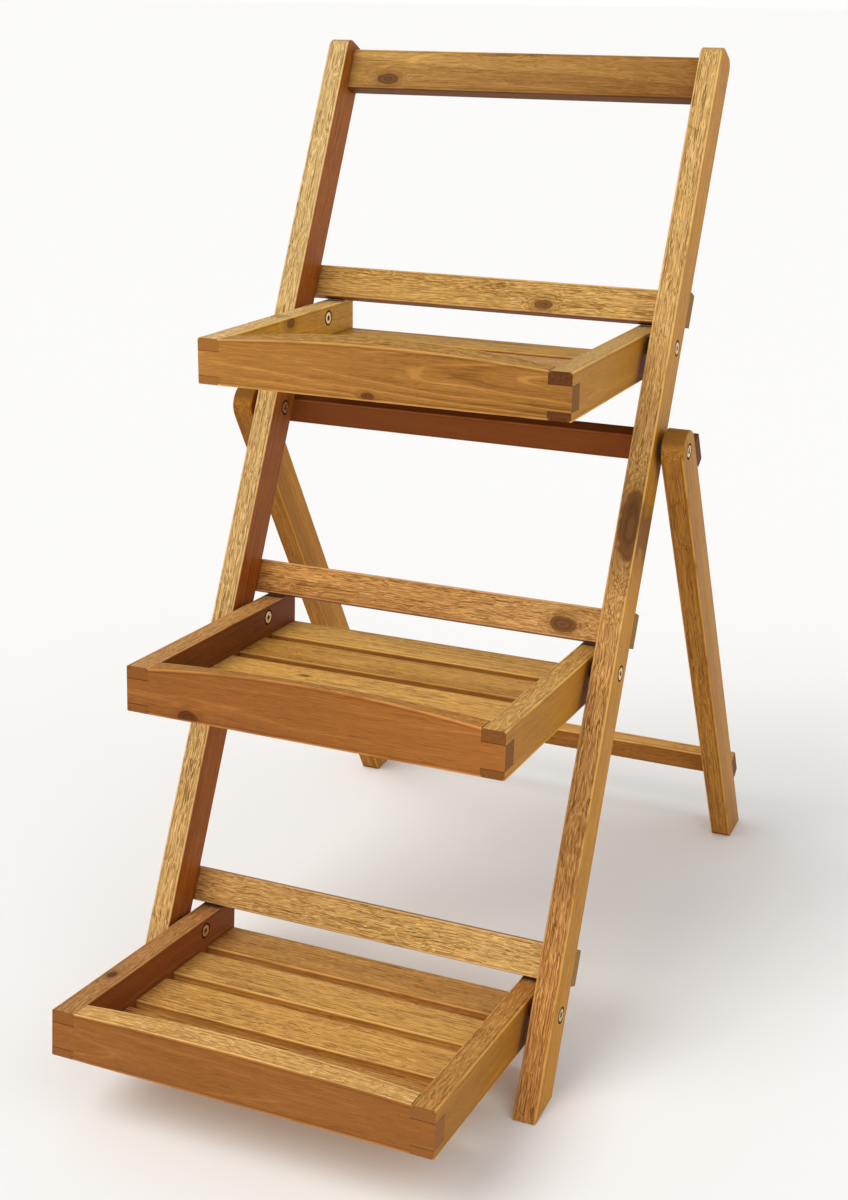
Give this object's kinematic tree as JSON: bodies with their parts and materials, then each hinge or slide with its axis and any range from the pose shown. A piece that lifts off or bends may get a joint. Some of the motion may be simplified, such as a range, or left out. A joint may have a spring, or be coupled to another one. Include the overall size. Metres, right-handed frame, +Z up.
{
  "type": "ladder shelf",
  "caption": "Folding ladder shelf in oiled acacia: leaning ladder frame, stepped slatted trays that fold up on bolts, and splayed rear legs that fold flat.",
  "frame": {"origin": "on the floor, at the middle of the opened shelf's footprint", "axes": "+X to the right seen from the front, +Y from the trays' fronts to the rear legs, +Z up"},
  "size_m": [0.477, 0.7894, 0.8938],
  "materials": {
    "upright_wood": "oiled, satin",
    "leg_wood": "oiled, satin",
    "crossbar_wood": "oiled, satin",
    "back_slat_wood": "oiled, satin",
    "rail_wood": "oiled, satin",
    "tray_front_wood": "oiled, satin",
    "tray_side_wood": "oiled, satin",
    "tray_slat_wood": "oiled, satin",
    "dowel_beech": "plain",
    "pivot_steel": "yellow zinc plated",
    "screw_steel": "zinc plated",
    "spacer_nylon": "matt"
  },
  "bodies": {
    "ladder_frame": {"upright_left": "upright_wood", "upright_right": "upright_wood", "top_rail": "rail_wood", "rail_dowels": "dowel_beech", "back_slat_bottom": "back_slat_wood", "back_slat_middle": "back_slat_wood", "back_slat_top": "back_slat_wood", "back_slat_screws": "screw_steel", "tray_pivot_nuts": "pivot_steel", "tray_pivot_bolts": "pivot_steel", "tray_pivot_spacers": "spacer_nylon", "leg_pivot_nuts": "pivot_steel", "leg_pivot_bolts": "pivot_steel", "leg_pivot_spacers": "spacer_nylon"},
    "rear_legs": {"rear_leg_left": "leg_wood", "rear_leg_right": "leg_wood", "leg_crossbar": "crossbar_wood", "leg_stretcher": "crossbar_wood", "leg_bar_screws": "screw_steel"},
    "tray_bottom": {"tray_bottom_front": "tray_front_wood", "tray_bottom_side_left": "tray_side_wood", "tray_bottom_side_right": "tray_side_wood", "tray_bottom_slat_1": "tray_slat_wood", "tray_bottom_slat_2": "tray_slat_wood", "tray_bottom_slat_3": "tray_slat_wood", "tray_bottom_slat_4": "tray_slat_wood", "tray_bottom_dowels": "dowel_beech"},
    "tray_middle": {"tray_middle_front": "tray_front_wood", "tray_middle_side_left": "tray_side_wood", "tray_middle_side_right": "tray_side_wood", "tray_middle_slat_1": "tray_slat_wood", "tray_middle_slat_2": "tray_slat_wood", "tray_middle_slat_3": "tray_slat_wood", "tray_middle_slat_4": "tray_slat_wood", "tray_middle_dowels": "dowel_beech"},
    "tray_top": {"tray_top_front": "tray_front_wood", "tray_top_side_left": "tray_side_wood", "tray_top_side_right": "tray_side_wood", "tray_top_slat_1": "tray_slat_wood", "tray_top_slat_2": "tray_slat_wood", "tray_top_slat_3": "tray_slat_wood", "tray_top_slat_4": "tray_slat_wood", "tray_top_dowels": "dowel_beech"}
  },
  "joints": [
    {"name": "rear_legs_fold", "type": "hinge", "parent": "ladder_frame", "child": "rear_legs", "pos_m": [0, 0.08166, 0.53916], "axis": [-1, 0, 0], "range_deg": [0, 56.6]},
    {"name": "tray_bottom_fold", "type": "hinge", "parent": "ladder_frame", "child": "tray_bottom", "pos_m": [0, -0.16961, 0.0725], "axis": [-1, 0, 0], "range_deg": [0, 110.8]},
    {"name": "tray_middle_fold", "type": "hinge", "parent": "ladder_frame", "child": "tray_middle", "pos_m": [0, -0.02074, 0.34897], "axis": [-1, 0, 0], "range_deg": [0, 113.5]},
    {"name": "tray_top_fold", "type": "hinge", "parent": "ladder_frame", "child": "tray_top", "pos_m": [0, 0.12812, 0.62544], "axis": [-1, 0, 0], "range_deg": [0, 115.8]}
  ],
  "couplings": [
    {"joint": "tray_bottom_fold", "follows": "rear_legs_fold", "ratio": 1.9576}
  ]
}
